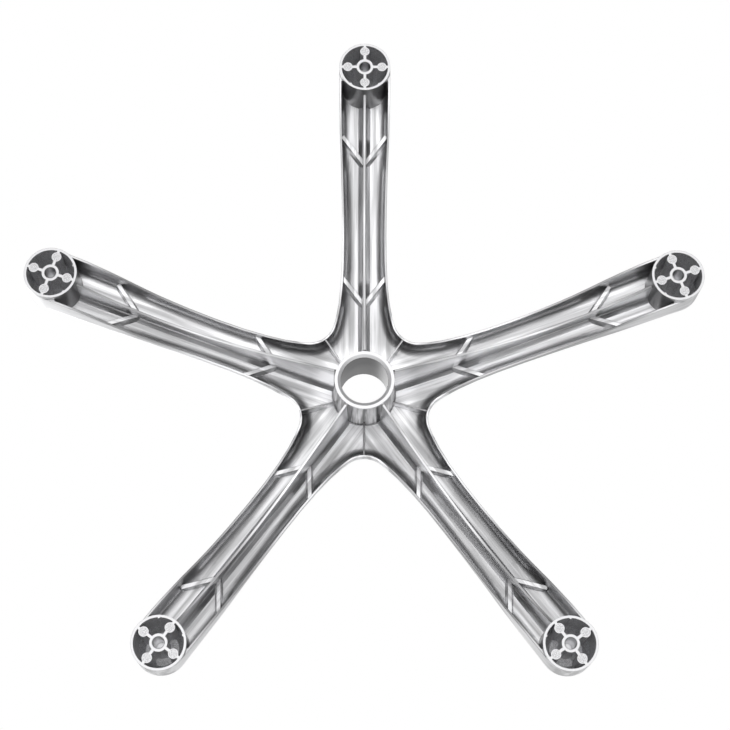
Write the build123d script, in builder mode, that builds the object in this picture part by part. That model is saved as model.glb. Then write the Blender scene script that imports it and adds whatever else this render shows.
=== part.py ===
from build123d import *
from math import cos, radians, sin, tan
import os

# Five-arm swivel chair base, cast in one piece from aluminium, in its own frame.
# It stands upright: +Z is up, the origin is on the hub axis in the plane of the five
# foot faces, and the first arm points to -Y. All sizes are in millimetres.

# The star
ARMS = 5
CASTOR_RADIUS = 335.0       # hub axis to each castor socket axis
FIRST_ARM = -90.0           # direction of the first arm, in degrees from +X

# The socket in the hub, which narrows downwards
HUB_HEIGHT = 63.0           # length of the socket
HUB_BOTTOM = 29.0           # lower end of the hub above the foot faces
SOCKET_TOP_RADIUS = 25.0
SOCKET_BOTTOM_RADIUS = 24.2
HUB_WALL = 6.3              # at the lower end, without the chamfer
HUB_DRAFT = 1.5             # how much wider the hub's outside is at its root
MOUTH_CHAMFER = 3.2         # width of the chamfer round the lower mouth
MOUTH_DEPTH = 1.6
HUB_ROOT_FILLET = 4.0
TOP_LAND = 4.0              # width of the machined ring round the upper mouth
TOP_LAND_RISE = 1.0         # how far that ring stands above the crown
TOP_MOUTH_CHAMFER = 0.8

# The foot cups, open downwards
FOOT_RADIUS = 26.8
FOOT_WALL = 2.5
CUP_DRAFT = 1.0             # how much narrower the cup is at its roof
ROOF_CHAMFER = 7.0
CUP_CHAMFER = 2.0           # where the outside of the cup meets the walls of the arm
BOSS_RADIUS = 8.8
STEM_RADIUS = 5.5           # for an 11 mm castor stem
STEM_DEPTH = 37.0
STEM_CHAMFER = 0.6
PAD_RADIUS = 5.0            # the four round pads, which are ends of solid posts
PAD_OFFSET = 17.9
PADS = 4
WEB_THICKNESS = 3.0         # webs between the boss, the pads and the ring
NUB_RADIUS = 1.1            # two small half-round ribs inside the ring
NUB_ANGLE = 37.0            # each side of the direction to the hub

# The arm seen from above, as half widths
CROTCH_RADIUS = 70.5        # hub axis to the edge between two arms
CROTCH_FILLET = 26.0
CROTCH_TURN = 36.0          # how far that arc turns before the arm's side begins
FLARE_AT, FLARE_HALF = 108.0, 25.2
WAIST_AT, WAIST_HALF = 172.0, 23.3
SWELL_BACK, SWELL_HALF = 85.0, 25.2     # measured back from the castor axis
FOOT_BLEND = 27.0                       # straight stretch before the round foot

# The crown, the arm's upper outline, as heights above the foot faces
CROWN_AT_FOOT = 47.5
CROWN_SLOPE = 0.2           # fall per length where the foot begins to level it
CROWN_EDGE = 13.0           # rounding of the long upper edges
SKIN = 3.4                  # thickness of the crown
RIM = 2.2                   # thickness of the side walls
FLOOR_EDGE_AT_HUB = 12.5    # rounding inside, between wall and floor
FLOOR_EDGE_AT_FOOT = 9.0

# The lower edge of the walls, as heights above the foot faces
RIM_AT_HUB = 68.0
RIM_AT_FLARE = 66.0
RIM_MID_AT, RIM_AT_MID = 180.0, 57.0
RIM_AT_SWELL = 37.0
RIM_AT_BLEND = 12.5
RIM_AT_FOOT = 6.0

# The long rib under each arm
RIB_THICKNESS = 2.6
RIB_DRAFT = 1.5             # degrees on each side
RIB_RISE_AT, RIB_AT_RISE = 93.0, 44.0
RIB_HIGH_AT, RIB_HIGH = 165.0, 52.5
RIB_AT_SWELL = 38.0
RIB_AT_FOOT = 10.5
RIB_ROOT = 4.0              # height and width of the slanted roots beside the rib
RIB_ROOT_HALF = 2.2         # half width of the rib between them

# The ribs between hub and crotch, and the two pairs of slanting ribs on each arm
CROTCH_RIB = 1.8
CROTCH_RIB_AT_HUB = 77.0
CROTCH_RIB_DROP = 0.6       # how far its end lies above the wall's edge
BRACE_WIDTH = 4.2
BRACE_ROOT = 7.6            # its width at the floor
BRACE_HEIGHT = 8.0
BRACE_ANGLE = 38.0          # from the arm's axis
INNER_BRACE_AT = 96.0       # where each pair meets the long rib
OUTER_BRACE_BACK = 89.0     # measured back from the castor axis

HUB_TOP = HUB_BOTTOM + HUB_HEIGHT
HUB_RADIUS = SOCKET_BOTTOM_RADIUS + HUB_WALL
CROWN_AT_HUB = HUB_TOP - TOP_LAND_RISE
CROWN_AT_BLEND = CROWN_AT_FOOT + CROWN_SLOPE * FOOT_BLEND / 2
TOP_RING = SOCKET_TOP_RADIUS + TOP_LAND
REACH = CASTOR_RADIUS + FOOT_RADIUS
SWELL_AT = CASTOR_RADIUS - SWELL_BACK
BLEND_AT = CASTOR_RADIUS - FOOT_BLEND
CUP_RADIUS = FOOT_RADIUS - FOOT_WALL
HALF_STEP = 180.0 / ARMS
FLOOR_AT_HUB = CROWN_AT_HUB - SKIN
HUB_ROOT = HUB_RADIUS + HUB_DRAFT
CUP_SIDE = CASTOR_RADIUS - FOOT_RADIUS  # the cup's side towards the hub
SECTOR = 540.0 / ARMS       # a turned shape reaches past the arm's share on both sides
PAST = 5.0                  # how far a cutting shape runs past what it cuts
CASTOR_AXIS = Axis((CASTOR_RADIUS, 0, 0), (0, 0, -1))
CASTOR_PLANE = Plane(origin=(CASTOR_RADIUS, 0, 0), x_dir=(1, 0, 0), z_dir=(0, -1, 0))

# How many straight spans follow each curved stretch of an arm
CROTCH_STEPS = 5
SIDE_STEPS = 9
SIDE_CROWDING = 1.5         # above 1, the spans are shorter next to the crotch
FOOT_STEPS = 2
CROWN_STEPS = 6


def crown(reach):
    """Height of the crown at a distance from the hub axis: it falls, then levels at the foot."""
    if reach > BLEND_AT:
        left = (CASTOR_RADIUS - min(reach, CASTOR_RADIUS)) / FOOT_BLEND
        return CROWN_AT_FOOT + (CROWN_AT_BLEND - CROWN_AT_FOOT) * left**2
    fall = CROWN_AT_HUB - CROWN_AT_BLEND
    late = CROWN_SLOPE * BLEND_AT - 2 * fall
    share = reach / BLEND_AT
    return CROWN_AT_HUB - (fall - late) * share**2 - late * share**3


def side_stations(inset):
    """Spots on one side of an arm, from the crotch to the foot, each with its heading."""
    bisector = radians(HALF_STEP)
    centre_at = CROTCH_RADIUS + CROTCH_FILLET
    radius = CROTCH_FILLET + inset
    stations = []
    for step in range(CROTCH_STEPS + 1):
        heading = bisector - radians(90.0 - CROTCH_TURN * step / CROTCH_STEPS)
        x = centre_at * cos(bisector) + radius * sin(heading)
        y = centre_at * sin(bisector) - radius * cos(heading)
        stations.append((Vector(x, y), Vector(cos(heading), sin(heading))))
    side = Spline(
        stations[-1][0],
        (FLARE_AT, FLARE_HALF - inset),
        (WAIST_AT, WAIST_HALF - inset),
        (SWELL_AT, SWELL_HALF - inset),
        (BLEND_AT, FOOT_RADIUS - inset),
        tangents=(stations[-1][1], (1.0, 0.0)),
    )
    for step in range(1, SIDE_STEPS + 1):
        along = (step / SIDE_STEPS) ** SIDE_CROWDING
        stations.append((side @ along, side % along))
    for step in range(1, FOOT_STEPS + 1):
        spot = Vector(BLEND_AT + FOOT_BLEND * step / FOOT_STEPS, FOOT_RADIUS - inset)
        stations.append((spot, Vector(1, 0)))
    return stations


def arm_body(inset, drop, edge_at_hub, edge_at_foot, bottom):
    """One arm with its share of the middle, under its crown, with its upper edges rounded."""
    with BuildPart() as body:
        for spot, heading in side_stations(inset):
            wide = spot.Y / heading.X
            inner_top = crown(spot.X + wide * heading.Y) - drop
            outer_top = crown(spot.length) - drop
            edge = edge_at_hub + (edge_at_foot - edge_at_hub) * spot.X / CASTOR_RADIUS
            square = Plane(origin=spot, x_dir=(heading.Y, -heading.X, 0), z_dir=-heading)
            with BuildSketch(square) as cut:
                with BuildLine():
                    Polyline((0, bottom), (wide, bottom), (wide, inner_top), (0, outer_top), close=True)
                make_face()
                fillet(cut.vertices().sort_by_distance((0, outer_top))[0], radius=edge)
        loft(ruled=True)
        end = body.faces().sort_by(Axis.X)[-1]
        revolve(end, axis=CASTOR_AXIS, revolution_arc=90)
        mirror(about=Plane.XZ)
    return body.part


def upright(angle):
    """The vertical plane that holds the hub axis and a direction from it."""
    return Plane.XZ.rotated((0, 0, angle))


def turned(profile, arc=360.0):
    """A profile turned about the hub axis, by an arc with the arm in its middle."""
    with BuildPart() as solid:
        with BuildSketch(upright(-arc / 2)):
            add(profile)
        revolve(axis=Axis.Z, revolution_arc=arc)
    return solid.part


def crown_line(drop):
    """The crown from the hub axis to the foot, lowered by drop."""
    reaches = [BLEND_AT * step / CROWN_STEPS for step in range(CROWN_STEPS + 1)]
    return Spline(*[(reach, crown(reach) - drop) for reach in reaches + [CASTOR_RADIUS]])


def arch_profile():
    """What lies below the walls: the space that their lower edge arches over."""
    with BuildSketch() as profile:
        with BuildLine():
            edge = Spline(
                (CROTCH_RADIUS - RIM, RIM_AT_HUB),
                (FLARE_AT, RIM_AT_FLARE),
                (RIM_MID_AT, RIM_AT_MID),
                (SWELL_AT, RIM_AT_SWELL),
                (BLEND_AT, RIM_AT_BLEND),
                (CASTOR_RADIUS, RIM_AT_FOOT),
                (REACH + PAST, RIM_AT_FOOT / 2),
                tangents=((1.0, 0.0), (1.0, 0.0)),
            )
            end = edge @ 1
            Polyline(end, (end.X, -PAST), (0, -PAST), (0, RIM_AT_HUB), edge @ 0)
        make_face()
    return profile.sketch


def hub_profile():
    """The outside of the hub, with its concave root and the ring on top."""
    seat = FLOOR_AT_HUB + SKIN / 2
    root_end = HUB_ROOT + HUB_ROOT_FILLET
    with BuildSketch() as profile:
        with BuildLine():
            side = Line((HUB_RADIUS, HUB_BOTTOM), (HUB_ROOT, FLOOR_AT_HUB - HUB_ROOT_FILLET))
            root = TangentArc(side @ 1, (root_end, FLOOR_AT_HUB), tangent=side % 1)
            Polyline(
                root @ 1,
                (root_end, seat),
                (TOP_RING, seat),
                (TOP_RING, HUB_TOP),
                (0, HUB_TOP),
                (0, HUB_BOTTOM),
                side @ 0,
            )
        make_face()
    return profile.sketch


def socket_profile():
    """The tapered socket right through the hub, with a chamfer at each mouth."""
    lower = SOCKET_BOTTOM_RADIUS + MOUTH_CHAMFER
    upper = SOCKET_TOP_RADIUS + TOP_MOUTH_CHAMFER
    with BuildSketch() as profile:
        Polygon(
            (0, HUB_BOTTOM - PAST),
            (lower, HUB_BOTTOM - PAST),
            (lower, HUB_BOTTOM),
            (SOCKET_BOTTOM_RADIUS, HUB_BOTTOM + MOUTH_DEPTH),
            (SOCKET_TOP_RADIUS, HUB_TOP - TOP_MOUTH_CHAMFER),
            (upper, HUB_TOP),
            (upper, HUB_TOP + PAST),
            (0, HUB_TOP + PAST),
            align=None,
        )
    return profile.sketch


def across(line):
    """The plane across the start of a line under the arm, with its Y axis upwards."""
    return Plane(origin=line @ 0, x_dir=(0, 1, 0), z_dir=line % 0)


def long_rib():
    """The rib under the arm, with draft on both sides."""
    tall = HUB_TOP - RIB_AT_FOOT
    half = RIB_THICKNESS / 2
    base = half + tall * tan(radians(RIB_DRAFT))
    with BuildPart() as rib:
        with BuildLine(Plane.XZ) as edge:
            Spline(
                (HUB_RADIUS - SKIN, HUB_BOTTOM),
                (RIB_RISE_AT, RIB_AT_RISE),
                (RIB_HIGH_AT, RIB_HIGH),
                (SWELL_AT, RIB_AT_SWELL),
                (CUP_SIDE + FOOT_WALL / 2, RIB_AT_FOOT),
            )
        line = edge.edges()[0]
        with BuildSketch(across(line)):
            Polygon((-half, 0), (half, 0), (base, tall), (-base, tall), align=None)
        sweep(path=line)
    return rib.part


def rib_root():
    """The slanted roots that join the long rib's sides to the floor."""
    wide = RIB_ROOT_HALF + RIB_ROOT
    sunk = SKIN / 3
    with BuildPart() as root:
        with BuildLine(Plane.XZ) as floor:
            crown_line(SKIN)
        line = floor.edges()[0]
        with BuildSketch(across(line)):
            Polygon(
                (wide, sunk),
                (wide, 0),
                (RIB_ROOT_HALF, -RIB_ROOT),
                (-RIB_ROOT_HALF, -RIB_ROOT),
                (-wide, 0),
                (-wide, sunk),
                align=None,
            )
        sweep(path=line)
    return root.part


def crotch_rib(angle):
    """The thin low rib from the hub to the edge between two arms."""
    outer = CROTCH_RADIUS - RIM / 2
    with BuildPart() as rib:
        with BuildSketch(upright(angle)):
            Polygon(
                (HUB_RADIUS - SKIN, CROTCH_RIB_AT_HUB),
                (outer, RIM_AT_HUB + CROTCH_RIB_DROP),
                (outer, HUB_TOP),
                (HUB_RADIUS - SKIN, HUB_TOP),
                align=None,
            )
        extrude(amount=CROTCH_RIB / 2, both=True)
    return rib.part


def brace(start, hand):
    """A slanting rib under the floor, with draft, from the long rib past the wall."""
    turn = radians(BRACE_ANGLE)
    ahead = Vector(cos(turn), hand * sin(turn))
    reach = WAIST_HALF / sin(turn)
    top = BRACE_WIDTH / 2
    root = BRACE_ROOT / 2
    with BuildPart() as rib:
        for spot in (Vector(start, 0), Vector(start, 0) + ahead * reach):
            floor = Vector(spot.X, spot.Y, crown(spot.length) - SKIN)
            with BuildSketch(Plane(origin=floor, x_dir=(ahead.Y, -ahead.X, 0), z_dir=-ahead)):
                Polygon(
                    (-top, -BRACE_HEIGHT),
                    (top, -BRACE_HEIGHT),
                    (root, 0),
                    (root, SKIN / 2),
                    (-root, SKIN / 2),
                    (-root, 0),
                    align=None,
                )
        loft(ruled=True)
    return rib.part


def foot_fittings():
    """The boss, the four posts, their webs and two small ribs, which fill the foot cup."""
    middle = (BOSS_RADIUS + CUP_RADIUS) / 2
    with BuildPart() as fittings:
        with BuildSketch():
            with Locations((CASTOR_RADIUS, 0)):
                Circle(BOSS_RADIUS)
                with PolarLocations(PAD_OFFSET, PADS):
                    Circle(PAD_RADIUS)
                with PolarLocations(middle, PADS):
                    Rectangle(CUP_RADIUS - BOSS_RADIUS + FOOT_WALL, WEB_THICKNESS)
                for side in (180 - NUB_ANGLE, 180 + NUB_ANGLE):
                    with Locations(Location((0, 0, 0), side)):
                        with Locations((CUP_RADIUS, 0)):
                            Circle(NUB_RADIUS)
        extrude(amount=HUB_TOP)
    return fittings.part


def foot_plan():
    """The round foot seen from above. Beyond the castor axis it is squared off past the arm."""
    with BuildSketch() as plan:
        with Locations((CASTOR_RADIUS, 0)):
            Circle(FOOT_RADIUS)
        with Locations((CASTOR_RADIUS - RIM, 0)):
            Rectangle(RIM + FOOT_RADIUS + PAST, 2 * (FOOT_RADIUS + PAST), align=(Align.MIN, Align.CENTER))
    return plan.sketch


def foot_cup():
    """The foot as a solid post, before its space is cut out."""
    with BuildPart() as cup:
        with BuildSketch():
            add(foot_plan())
        extrude(amount=HUB_TOP)
    return cup.part


def cup_corners():
    """The foot cup with its corners to the walls of the arm filled."""
    wall = FOOT_RADIUS - RIM
    with BuildPart() as corners:
        with BuildSketch() as plan:
            add(foot_plan())
            for side in (1, -1):
                with Locations((BLEND_AT, side * (wall + FOOT_RADIUS + PAST) / 2)):
                    Rectangle(FOOT_BLEND, RIM + PAST, align=(Align.MIN, Align.CENTER))
            inner, outer = BLEND_AT + RIM, CASTOR_RADIUS - 2 * RIM
            notches = plan.vertices().filter_by(lambda point: inner < point.X < outer)
            chamfer(notches, length=CUP_CHAMFER)
        extrude(amount=HUB_TOP)
    return corners.part


def cup_space():
    """The round space of the foot cup, with its roof chamfered to follow the crown's edge."""
    roof = CROWN_AT_FOOT - SKIN
    with BuildPart() as space:
        with BuildSketch(CASTOR_PLANE):
            Polygon(
                (0, -PAST),
                (CUP_RADIUS, -PAST),
                (CUP_RADIUS, 0),
                (CUP_RADIUS - CUP_DRAFT, roof - ROOF_CHAMFER),
                (CUP_RADIUS - CUP_DRAFT - ROOF_CHAMFER, roof),
                (0, roof),
                align=None,
            )
        revolve(axis=CASTOR_AXIS)
    return space.part


def stem_space():
    """The blind round socket for a castor stem, with its entry chamfer."""
    entry = STEM_RADIUS + STEM_CHAMFER
    with BuildPart() as space:
        with BuildSketch(CASTOR_PLANE):
            Polygon(
                (0, -PAST),
                (entry, -PAST),
                (entry, 0),
                (STEM_RADIUS, STEM_CHAMFER),
                (STEM_RADIUS, STEM_DEPTH),
                (0, STEM_DEPTH),
                align=None,
            )
        revolve(axis=CASTOR_AXIS)
    return space.part


def arm():
    """One arm with its share of the middle, ready to be repeated round the hub axis."""
    outside = arm_body(0.0, 0.0, CROWN_EDGE, CROWN_EDGE, 0.0)
    inside = arm_body(RIM, SKIN, FLOOR_EDGE_AT_HUB, FLOOR_EDGE_AT_FOOT, -PAST)
    # What stands on the walls and the floor ends in the middle of their thickness
    middle = arm_body(RIM / 2, SKIN / 2, CROWN_EDGE, CROWN_EDGE, 0.0)
    with BuildPart() as corners:
        add(cup_corners())
        add(middle, mode=Mode.INTERSECT)
    with BuildPart() as works:
        add(long_rib())
        add(rib_root())
        for start in (INNER_BRACE_AT, CASTOR_RADIUS - OUTER_BRACE_BACK):
            for hand in (1, -1):
                add(brace(start, hand))
        for side in (HALF_STEP, -HALF_STEP):
            add(crotch_rib(side))
        add(foot_cup())
        add(middle, mode=Mode.INTERSECT)
    with BuildPart() as fittings:
        add(foot_fittings())
        add(middle, mode=Mode.INTERSECT)
    with BuildPart() as one:
        add(outside)
        add(inside, mode=Mode.SUBTRACT)
        add(corners.part)
        add(turned(arch_profile(), SECTOR), mode=Mode.SUBTRACT)
        with Locations((CASTOR_RADIUS, 0)):
            Cylinder(FOOT_RADIUS, CROWN_AT_FOOT / 2, align=(Align.CENTER, Align.CENTER, Align.MIN))
        add(works.part)
        add(cup_space(), mode=Mode.SUBTRACT)
        add(fittings.part)
        add(stem_space(), mode=Mode.SUBTRACT)
    return one.part


if __name__ == "__main__":
    os.makedirs("parts", exist_ok=True)

    one_arm = arm()
    with BuildPart() as chair_base:
        with PolarLocations(0, ARMS, start_angle=FIRST_ARM):
            add(one_arm)
        add(turned(hub_profile()))
        add(turned(socket_profile()), mode=Mode.SUBTRACT)

    chair_base.part.label = "chair_base"
    export_step(chair_base.part, "parts/chair_base.step")
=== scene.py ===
from math import cos, radians, sin

import bpy
from mathutils import Matrix, Vector


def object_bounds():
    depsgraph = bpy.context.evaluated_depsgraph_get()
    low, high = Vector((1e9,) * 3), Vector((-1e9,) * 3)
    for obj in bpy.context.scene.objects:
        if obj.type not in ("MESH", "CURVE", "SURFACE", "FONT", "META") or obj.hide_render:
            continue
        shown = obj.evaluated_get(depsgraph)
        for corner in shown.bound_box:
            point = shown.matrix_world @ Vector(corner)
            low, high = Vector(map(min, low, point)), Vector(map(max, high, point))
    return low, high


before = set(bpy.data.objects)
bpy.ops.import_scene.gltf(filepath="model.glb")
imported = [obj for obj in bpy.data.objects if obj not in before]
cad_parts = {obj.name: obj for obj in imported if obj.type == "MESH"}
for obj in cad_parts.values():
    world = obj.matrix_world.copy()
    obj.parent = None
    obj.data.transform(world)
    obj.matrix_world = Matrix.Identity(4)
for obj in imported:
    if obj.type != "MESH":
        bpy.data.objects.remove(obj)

cad_low, cad_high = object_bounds()

# The base, in metres: what the materials need to know of its shape
ARMS = 5
HALF_STEP = radians(180 / ARMS)
CASTOR_RADIUS = 0.335
FIRST_ARM = radians(-90)
CUP_RADIUS = 0.0243
CUP_ROOF = 0.0450           # just above the flat roof of a cup
ROOF_RADIUS = 0.0173        # where the chamfer of that roof begins
FOOT_RADIUS = 0.0268
CUP_BACK = -0.0125          # the cup's side within the arm lies further towards the hub than this
STEM_RADIUS = 0.0055
PAD_RADIUS = 0.0050
PAD_OFFSET = 0.0179
ARM_FALL = 0.16             # how much an arm falls over its length
CROTCH_CENTRE = 0.0965      # the centre of the round edge between two arms, from the hub axis
CROTCH_WALL = 0.0282        # the inside of the wall round that edge, from its centre
HUB_RADIUS = 0.0305
HUB_DRAFT = 0.0015          # how much wider the tube is at its top
SOCKET_RADIUS = 0.0250
TOP_RING = 0.0290
MOUTH_ROOF = 0.0306         # the top of the chamfer in the hub's lower mouth
MACHINED = 0.0002           # how deep a machined face counts as one
EDGE = 0.0003               # how far past a radius its surface is still met

# The camera, worked out from the photograph. It looks at the underside of the base.
CAMERA_DISTANCE = 5.5138 * CASTOR_RADIUS
CAMERA_SHIFT = (-0.0004 * CASTOR_RADIUS, -0.019 * CASTOR_RADIUS)
CAMERA_TILT = radians(-17.25)
CAMERA_TURN = radians(0.646)
LENS = 91.3
SENSOR = 36.0

FLOOR_GAP = 0.0005
FLOOR_RADIUS = 2.5
FLOOR_SIDES = 96
FLOOR_FADE = (0.9, 0.4)     # shares of that radius between which the floor appears
FLOOR_TONE = 0.86

# Each lamp's place, size and power
LAMPS = {
    "lamp_below": ((0.3, -1.2, -1.6), 1.2, 2.0),
    "lamp_above": ((-0.5, -0.7, 1.6), 1.4, 8.0),
}

# The studio round the base. A steepness is 0 at the horizon and 1 straight up or down, and each
# strength goes from the first steepness to the second.
HORIZON = 0.05              # half the height of the blend between its two halves
BELOW_STEEPNESS = (0.30, 0.80)
BELOW_STRENGTH = (0.12, 0.60)
ABOVE_STEEPNESS = (0.00, 0.45)
ABOVE_STRENGTH = (0.30, 0.85)
PEAK_STEEPNESS = (0.85, 0.96)
PEAK_BELOW = 1.0
PEAK_ABOVE = 0.25
SCREEN_SCALE = 1.7
SCREEN_RANGE = (0.42, 0.60)     # the noise between which a dim part turns into a bright one
SCREEN_STRENGTH = (0.60, 1.30)

# Patterns in the metal: a scale, and how little they change along an arm and up its walls
STREAK_SCALE, STREAK_ALONG, STREAK_UP = 150.0, 0.05, 0.25
LINE_SCALE, LINE_ALONG, LINE_UP = 650.0, 0.03, 0.08
# Painted highlights: upright bands on the hub's tube
TUBE_HIGHLIGHT_SCALE, TUBE_HIGHLIGHT_UP = 230.0, 0.05
PATCH_SCALE = 26.0
SPECKLE_SCALE = 900.0
SPECKLE_ROUGHNESS = 0.6

# The noise at which each of them is at its darkest and at its lightest
STREAK_RANGE = (0.36, 0.64)
TUBE_HIGHLIGHT_RANGE = (0.38, 0.62)
CUP_SPECKLE = (0.30, 0.70)
PAD_SPECKLE = (0.35, 0.65)
PAD_RIM = (0.0006, 0.0010)  # how far within its radius a pad's speckle begins and is full

# Directions on the metal, by how far its normal points up
UPPER_FACING = (0.05, 0.30)
WALL_FACING = (0.50, 0.25)

# How bright each surface is, at its darkest and its lightest. A share multiplies a brightness.
CAST_TONE = (0.46, 0.84)
CAST_LIMIT = 0.95
LINE_SHARE = (0.86, 1.14)
PATCH_SHARE = (0.88, 1.12)
# Painted shade beside the wall between two arms, near the hub
PAINTED_SHADE_SHARE = 0.66
PAINTED_SHADE_REACH = (0.024, 0.008)     # from the wall between two arms
PAINTED_SHADE_LENGTH = (0.130, 0.085)    # along an arm
# Painted highlight round the hub's root
HUB_HIGHLIGHT_SHARE = 1.35
HUB_HIGHLIGHT_REACH = (0.060, 0.040)      # from the hub axis
# Painted shade on the back of each cup, towards the hub
CUP_BACK_SHADE = (0.36, 0.52)
# Painted shade on the hub's tube, with painted highlights in upright bands
TUBE_SHADE_AND_HIGHLIGHT = (0.10, 0.52)
POLISHED_TONE = (0.70, 0.84)
POLISHED_SHARE = (0.95, 1.05)
CUP_TONE = (0.64, 0.98)
# Painted shade near the bore's mouth and a painted highlight deeper in
BORE_SHADE_TO_HIGHLIGHT = (0.55, 0.98)
BORE_HEIGHT = (0.008, 0.024)    # above the foot faces
# Painted shade in the socket inside the hub
SOCKET_SHADE = (0.16, 0.36)
MACHINED_TONE = 0.95
FOOT_TONE = 0.84
PAD_TONE = (0.52, 0.84)
BLUE_SHARE = 1.015

CAST_ROUGHNESS = (0.29, 0.37)
WALL_ROUGHNESS = 0.29
CUP_ROUGHNESS = 0.60
BORE_ROUGHNESS = 0.35
SOCKET_ROUGHNESS = 0.45
MACHINED_ROUGHNESS = 0.46

BUMP_STRENGTH = 0.35
BUMP_HEIGHT = 0.0008
ROUNDED_EDGES = (0.0004, 0.0009)    # radii: on the machined and upper faces, and on the others
EDGE_SAMPLES = 6


class Nodes:
    """A node tree with short calls for the nodes that the materials use."""

    def __init__(self, owner):
        owner.use_nodes = True
        self.tree = owner.node_tree
        self.tree.nodes.clear()

    def node(self, kind, settings=None, **inputs):
        made = self.tree.nodes.new("ShaderNode" + kind)
        for key, value in (settings or {}).items():
            setattr(made, key, value)
        for key, value in inputs.items():
            self.put(made.inputs[key.replace("_", " ")], value)
        return made

    def put(self, socket, value):
        if isinstance(value, bpy.types.NodeSocket):
            self.tree.links.new(value, socket)
        else:
            socket.default_value = value

    def math(self, operation, *values):
        made = self.tree.nodes.new("ShaderNodeMath")
        made.operation = operation
        for socket, value in zip(made.inputs, values):
            self.put(socket, value)
        return made.outputs[0]

    def add(self, first, second):
        return self.math("ADD", first, second)

    def minus(self, first, second):
        return self.math("SUBTRACT", first, second)

    def times(self, first, second):
        return self.math("MULTIPLY", first, second)

    def size(self, value):
        return self.math("ABSOLUTE", value)

    def larger(self, first, second):
        return self.math("MAXIMUM", first, second)

    def smaller(self, first, second):
        return self.math("MINIMUM", first, second)

    def below(self, value, limit):
        """1 where the value is less than the limit, 0 elsewhere."""
        return self.math("LESS_THAN", value, limit)

    def inside(self, distance, radius):
        """1 within a radius and on its wall, 0 beyond."""
        return self.below(distance, radius + EDGE)

    def length(self, first, second):
        return self.math("SQRT", self.add(self.times(first, first), self.times(second, second)))

    def step(self, value, start, end):
        """0 at start, 1 at end, smooth between them."""
        made = self.node("MapRange", {"interpolation_type": "SMOOTHSTEP"}, Value=value)
        made.inputs["From Min"].default_value = start
        made.inputs["From Max"].default_value = end
        return made.outputs["Result"]

    def mix(self, factor, first, second):
        """A number between two numbers."""
        made = self.node("MapRange", Value=factor)
        self.put(made.inputs["To Min"], first)
        self.put(made.inputs["To Max"], second)
        return made.outputs["Result"]

    def vector(self, x, y, z):
        return self.node("CombineXYZ", X=x, Y=y, Z=z).outputs[0]

    def noise(self, vector, scale, detail=3.0, roughness=0.5):
        made = self.node("TexNoise", Vector=vector, Scale=scale, Detail=detail, Roughness=roughness)
        return made.outputs["Fac"]


def place_camera():
    """A camera that sees the base as the photograph does."""
    camera = bpy.data.objects.new("camera", bpy.data.cameras.new("camera"))
    bpy.context.scene.collection.objects.link(camera)
    camera.data.lens = LENS
    camera.data.sensor_width = SENSOR
    # In the fit the base lies with its underside towards the camera: half a turn about X
    turned = Matrix.Rotation(CAMERA_TILT, 4, "X") @ Matrix.Rotation(CAMERA_TURN, 4, "Y")
    upright = Matrix.Rotation(radians(180), 4, "X")
    eye = Matrix.Translation(Vector((-CAMERA_SHIFT[0], -CAMERA_SHIFT[1], CAMERA_DISTANCE)))
    camera.matrix_world = (turned @ upright).inverted() @ eye
    bpy.context.scene.camera = camera


def light_world():
    """White for the camera. For the metal, wide soft lights above and below, darker at the sides."""
    world = bpy.data.worlds.new("studio")
    bpy.context.scene.world = world
    nodes = Nodes(world)
    direction = nodes.node("TexCoord").outputs["Generated"]
    height = nodes.node("SeparateXYZ", Vector=direction).outputs["Z"]
    steepness = nodes.size(height)
    in_upper_half = nodes.step(height, -HORIZON, HORIZON)
    screens = nodes.step(nodes.noise(direction, SCREEN_SCALE, 1.0), *SCREEN_RANGE)
    below = nodes.mix(nodes.step(steepness, *BELOW_STEEPNESS), *BELOW_STRENGTH)
    above = nodes.mix(nodes.step(steepness, *ABOVE_STEEPNESS), *ABOVE_STRENGTH)
    level = nodes.mix(in_upper_half, below, above)
    level = nodes.times(level, nodes.mix(screens, *SCREEN_STRENGTH))
    peak = nodes.mix(in_upper_half, PEAK_BELOW, PEAK_ABOVE)
    level = nodes.add(level, nodes.times(nodes.step(steepness, *PEAK_STEEPNESS), peak))
    shown = nodes.node("LightPath").outputs["Is Camera Ray"]
    strength = nodes.mix(shown, level, 1.0)
    background = nodes.node("Background", Color=(1, 1, 1, 1), Strength=strength)
    nodes.node("OutputWorld", Surface=background.outputs[0])


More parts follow.
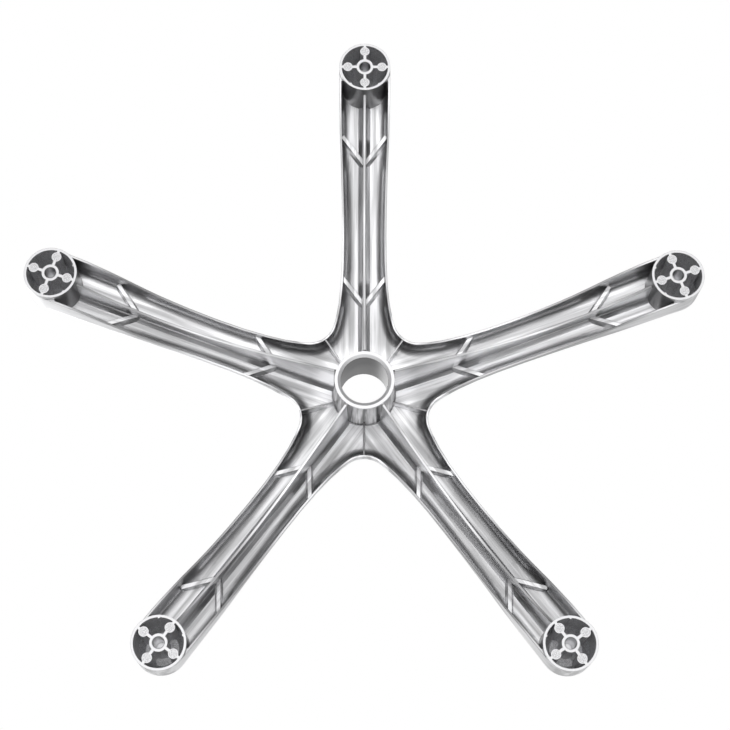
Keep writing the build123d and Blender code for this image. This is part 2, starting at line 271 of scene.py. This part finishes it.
class Places:
    """Where a point of the metal lies. A mask is 1 on its surface and 0 elsewhere."""

    def __init__(self, nodes):
        coordinates = nodes.node("TexCoord")
        self.point = coordinates.outputs["Object"]
        split = nodes.node("SeparateXYZ", Vector=self.point)
        self.x, self.y, self.z = (split.outputs[axis] for axis in "XYZ")
        self.face(nodes, coordinates.outputs["Normal"])
        self.measure(nodes)
        self.mark_foot(nodes)
        self.mark_hub(nodes)
        self.machined = nodes.larger(nodes.larger(self.on_foot, self.on_hub), self.on_ring)

    def face(self, nodes, normal):
        """The faces that point up, all others, and the steep ones among the others."""
        facing = nodes.node("SeparateXYZ", Vector=normal).outputs["Z"]
        self.upper = nodes.step(facing, *UPPER_FACING)
        self.lower = nodes.minus(1.0, self.upper)
        self.on_wall = nodes.times(nodes.step(nodes.size(facing), *WALL_FACING), self.lower)

    def measure(self, nodes):
        """Distances from the hub, along and beside the nearest arm, and from its foot."""
        self.from_hub = nodes.length(self.x, self.y)
        turn = nodes.minus(nodes.math("ARCTAN2", self.y, self.x), FIRST_ARM)
        turn = nodes.math("WRAP", turn, HALF_STEP, -HALF_STEP)
        self.along = nodes.times(self.from_hub, nodes.math("COSINE", turn))
        self.aside = nodes.times(self.from_hub, nodes.math("SINE", turn))
        self.out = nodes.minus(self.along, CASTOR_RADIUS)
        self.from_foot = nodes.length(self.out, self.aside)

    def mark_foot(self, nodes):
        # The cup is what lies within its radius and below its chamfered roof, the bore included
        roof = nodes.larger(nodes.minus(self.from_foot, ROOF_RADIUS), 0.0)
        below_roof = nodes.below(nodes.add(self.z, roof), CUP_ROOF)
        self.in_cup = nodes.times(nodes.inside(self.from_foot, CUP_RADIUS), below_roof)
        self.in_bore = nodes.times(nodes.inside(self.from_foot, STEM_RADIUS), below_roof)
        self.on_foot = nodes.below(self.z, MACHINED)
        self.on_cup_back = nodes.times(nodes.inside(self.from_foot, FOOT_RADIUS),
                                       nodes.below(self.out, CUP_BACK))
        # The four pads lie on two lines across the foot, one along the arm and one across it
        reaches = [nodes.size(self.out), nodes.size(self.aside)]
        from_pad = nodes.length(nodes.minus(nodes.larger(*reaches), PAD_OFFSET), nodes.smaller(*reaches))
        rim = [PAD_RADIUS - inward for inward in PAD_RIM]
        self.on_pad = nodes.times(self.on_foot, nodes.step(from_pad, *rim))

    def mark_hub(self, nodes):
        in_mouth = nodes.below(self.z, MOUTH_ROOF)
        self.on_hub = nodes.times(nodes.inside(self.from_hub, HUB_RADIUS), in_mouth)
        self.on_ring = nodes.times(nodes.inside(self.from_hub, TOP_RING), self.upper)
        self.in_socket = nodes.times(nodes.inside(self.from_hub, SOCKET_RADIUS),
                                     nodes.minus(1.0, in_mouth))
        self.on_tube = nodes.minus(nodes.inside(self.from_hub, HUB_RADIUS + HUB_DRAFT),
                                   nodes.inside(self.from_hub, TOP_RING))


class Patterns:
    """Noise in the metal. Streaks and lines follow the arm, which falls towards its foot."""

    def __init__(self, nodes, at):
        level = nodes.add(at.z, nodes.times(at.along, ARM_FALL))
        drawn_out = nodes.vector(nodes.times(at.along, STREAK_ALONG), at.aside,
                                 nodes.times(level, STREAK_UP))
        self.streaks = nodes.noise(drawn_out, STREAK_SCALE)
        drawn_out = nodes.vector(nodes.times(at.along, LINE_ALONG), at.aside,
                                 nodes.times(level, LINE_UP))
        self.lines = nodes.noise(drawn_out, LINE_SCALE, 1.0)
        # Upright noise for the painted highlights on the hub's tube
        upright = nodes.vector(at.x, at.y, nodes.times(at.z, TUBE_HIGHLIGHT_UP))
        self.tube_highlights = nodes.noise(upright, TUBE_HIGHLIGHT_SCALE)
        self.patches = nodes.noise(at.point, PATCH_SCALE)
        self.speckle = nodes.noise(at.point, SPECKLE_SCALE, 2.0, SPECKLE_ROUGHNESS)


def cast_tone(nodes, at, patterns):
    """The brightness of the metal as it was cast, seen from below, with painted shade beside the walls
    near the hub and a painted highlight round the hub.
    """
    bright = nodes.mix(nodes.step(patterns.streaks, *STREAK_RANGE), *CAST_TONE)
    bright = nodes.times(bright, nodes.mix(patterns.lines, *LINE_SHARE))
    bright = nodes.times(bright, nodes.mix(patterns.patches, *PATCH_SHARE))
    # Painted shade: near the hub the metal is painted darker beside the walls, and brighter towards the
    # ribs
    beside = nodes.minus(nodes.size(at.aside), CROTCH_CENTRE * sin(HALF_STEP))
    beyond = nodes.minus(at.along, CROTCH_CENTRE * cos(HALF_STEP))
    from_wall = nodes.minus(nodes.length(beyond, beside), CROTCH_WALL)
    painted_shade = nodes.times(nodes.step(from_wall, *PAINTED_SHADE_REACH), nodes.step(from_wall, -EDGE, EDGE))
    painted_shade = nodes.times(painted_shade, nodes.step(at.along, *PAINTED_SHADE_LENGTH))
    bright = nodes.times(bright, nodes.mix(painted_shade, 1.0, PAINTED_SHADE_SHARE))
    # Painted highlight: the metal round the hub's root is painted brighter
    hub_highlight = nodes.step(at.from_hub, *HUB_HIGHLIGHT_REACH)
    bright = nodes.times(bright, nodes.mix(hub_highlight, 1.0, HUB_HIGHLIGHT_SHARE))
    return nodes.smaller(bright, CAST_LIMIT)


def metal_colour(nodes, at, patterns):
    """The cast tone, and over it the tone of each surface that differs."""
    polished = nodes.times(nodes.mix(patterns.patches, *POLISHED_TONE),
                           nodes.mix(patterns.lines, *POLISHED_SHARE))
    tones = [
        # Painted shade: the back of each cup is painted darker
        (at.on_cup_back, nodes.mix(patterns.patches, *CUP_BACK_SHADE)),
        # Painted shade and painted highlights: the tube is dark with bright upright bands
        (at.on_tube, nodes.mix(nodes.step(patterns.tube_highlights, *TUBE_HIGHLIGHT_RANGE), *TUBE_SHADE_AND_HIGHLIGHT)),
        (at.upper, polished),
        (at.in_cup, nodes.mix(nodes.step(patterns.speckle, *CUP_SPECKLE), *CUP_TONE)),
        # Painted shade and a painted highlight: the bore is darker towards the foot faces and lighter
        # deeper in
        (at.in_bore, nodes.mix(nodes.step(at.z, *BORE_HEIGHT), *BORE_SHADE_TO_HIGHLIGHT)),
        # Painted shade: the socket is painted dark
        (at.in_socket, nodes.mix(patterns.patches, *SOCKET_SHADE)),
        (at.machined, nodes.mix(at.on_foot, MACHINED_TONE, FOOT_TONE)),
        (at.on_pad, nodes.mix(nodes.step(patterns.speckle, *PAD_SPECKLE), *PAD_TONE)),
    ]
    bright = cast_tone(nodes, at, patterns)
    for mask, tone in tones:
        bright = nodes.mix(mask, bright, tone)
    blue = nodes.times(bright, BLUE_SHARE)
    return nodes.node("CombineColor", Red=bright, Green=bright, Blue=blue).outputs[0]


def metal_roughness(nodes, at, patterns):
    """The roughness of the cast metal, and over it that of each surface that differs."""
    rough = nodes.mix(patterns.patches, *CAST_ROUGHNESS)
    for mask, value in (
        (at.on_wall, WALL_ROUGHNESS),
        (at.in_cup, CUP_ROUGHNESS),
        (at.in_bore, BORE_ROUGHNESS),
        (at.in_socket, SOCKET_ROUGHNESS),
        (at.machined, MACHINED_ROUGHNESS),
    ):
        rough = nodes.mix(mask, rough, value)
    return rough


def cast_aluminium(material):
    """Bright cast metal, streaked along each arm, with machined faces, painted shade on the cup backs,
    in the socket, on the tube and beside the walls near the hub, and painted highlights round the hub
    and on the tube.
    """
    nodes = Nodes(material)
    at = Places(nodes)
    patterns = Patterns(nodes, at)
    rest = nodes.minus(at.lower, nodes.larger(at.machined, at.in_socket))
    rounded = nodes.node("Bevel", {"samples": EDGE_SAMPLES}, Radius=nodes.mix(rest, *ROUNDED_EDGES))
    bump = nodes.node("Bump", Strength=nodes.mix(rest, 0.0, BUMP_STRENGTH), Distance=BUMP_HEIGHT,
                      Height=patterns.streaks, Normal=rounded.outputs[0])
    shader = nodes.node("BsdfPrincipled", Base_Color=metal_colour(nodes, at, patterns), Metallic=1.0,
                        Roughness=metal_roughness(nodes, at, patterns), Normal=bump.outputs[0])
    nodes.node("OutputMaterial", Surface=shader.outputs[0])


def floor():
    """A pale floor that is seen from above only, so that the camera can look up at the base."""
    bpy.ops.mesh.primitive_circle_add(vertices=FLOOR_SIDES, radius=FLOOR_RADIUS, fill_type="NGON",
                                      location=(0, 0, cad_low.z - FLOOR_GAP))
    ground = bpy.context.object
    ground.name = "floor"
    material = bpy.data.materials.new("pale_floor")
    nodes = Nodes(material)
    path = nodes.node("LightPath")
    above = nodes.minus(1.0, nodes.node("NewGeometry").outputs["Backfacing"])
    shown = nodes.times(path.outputs["Is Camera Ray"], above)
    place = nodes.node("TexCoord").outputs["Object"]
    distance = nodes.node("VectorMath", {"operation": "LENGTH"}, Vector=place).outputs["Value"]
    fade = [share * FLOOR_RADIUS for share in FLOOR_FADE]
    shown = nodes.times(shown, nodes.step(distance, *fade))
    pale = nodes.node("BsdfDiffuse", Color=(FLOOR_TONE, FLOOR_TONE, FLOOR_TONE, 1))
    clear = nodes.node("BsdfTransparent")
    mixed = nodes.node("MixShader")
    nodes.put(mixed.inputs[0], shown)
    nodes.put(mixed.inputs[1], clear.outputs[0])
    nodes.put(mixed.inputs[2], pale.outputs[0])
    nodes.node("OutputMaterial", Surface=mixed.outputs[0])
    ground.data.materials.append(material)


def softbox(name, place, size, power):
    """A square lamp that faces the base."""
    lamp = bpy.data.lights.new(name, "AREA")
    lamp.size, lamp.energy = size, power
    box = bpy.data.objects.new(name, lamp)
    bpy.context.scene.collection.objects.link(box)
    box.location = place
    box.rotation_euler = (-Vector(place)).to_track_quat("-Z", "Y").to_euler()


place_camera()
light_world()
floor()
for name, (place, size, power) in LAMPS.items():
    softbox(name, place, size, power)

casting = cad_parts["chair_base"]
metal = bpy.data.materials.new("cast_aluminium")
cast_aluminium(metal)
for slot in casting.material_slots:
    slot.material = metal

bpy.context.scene.view_settings.view_transform = "Standard"
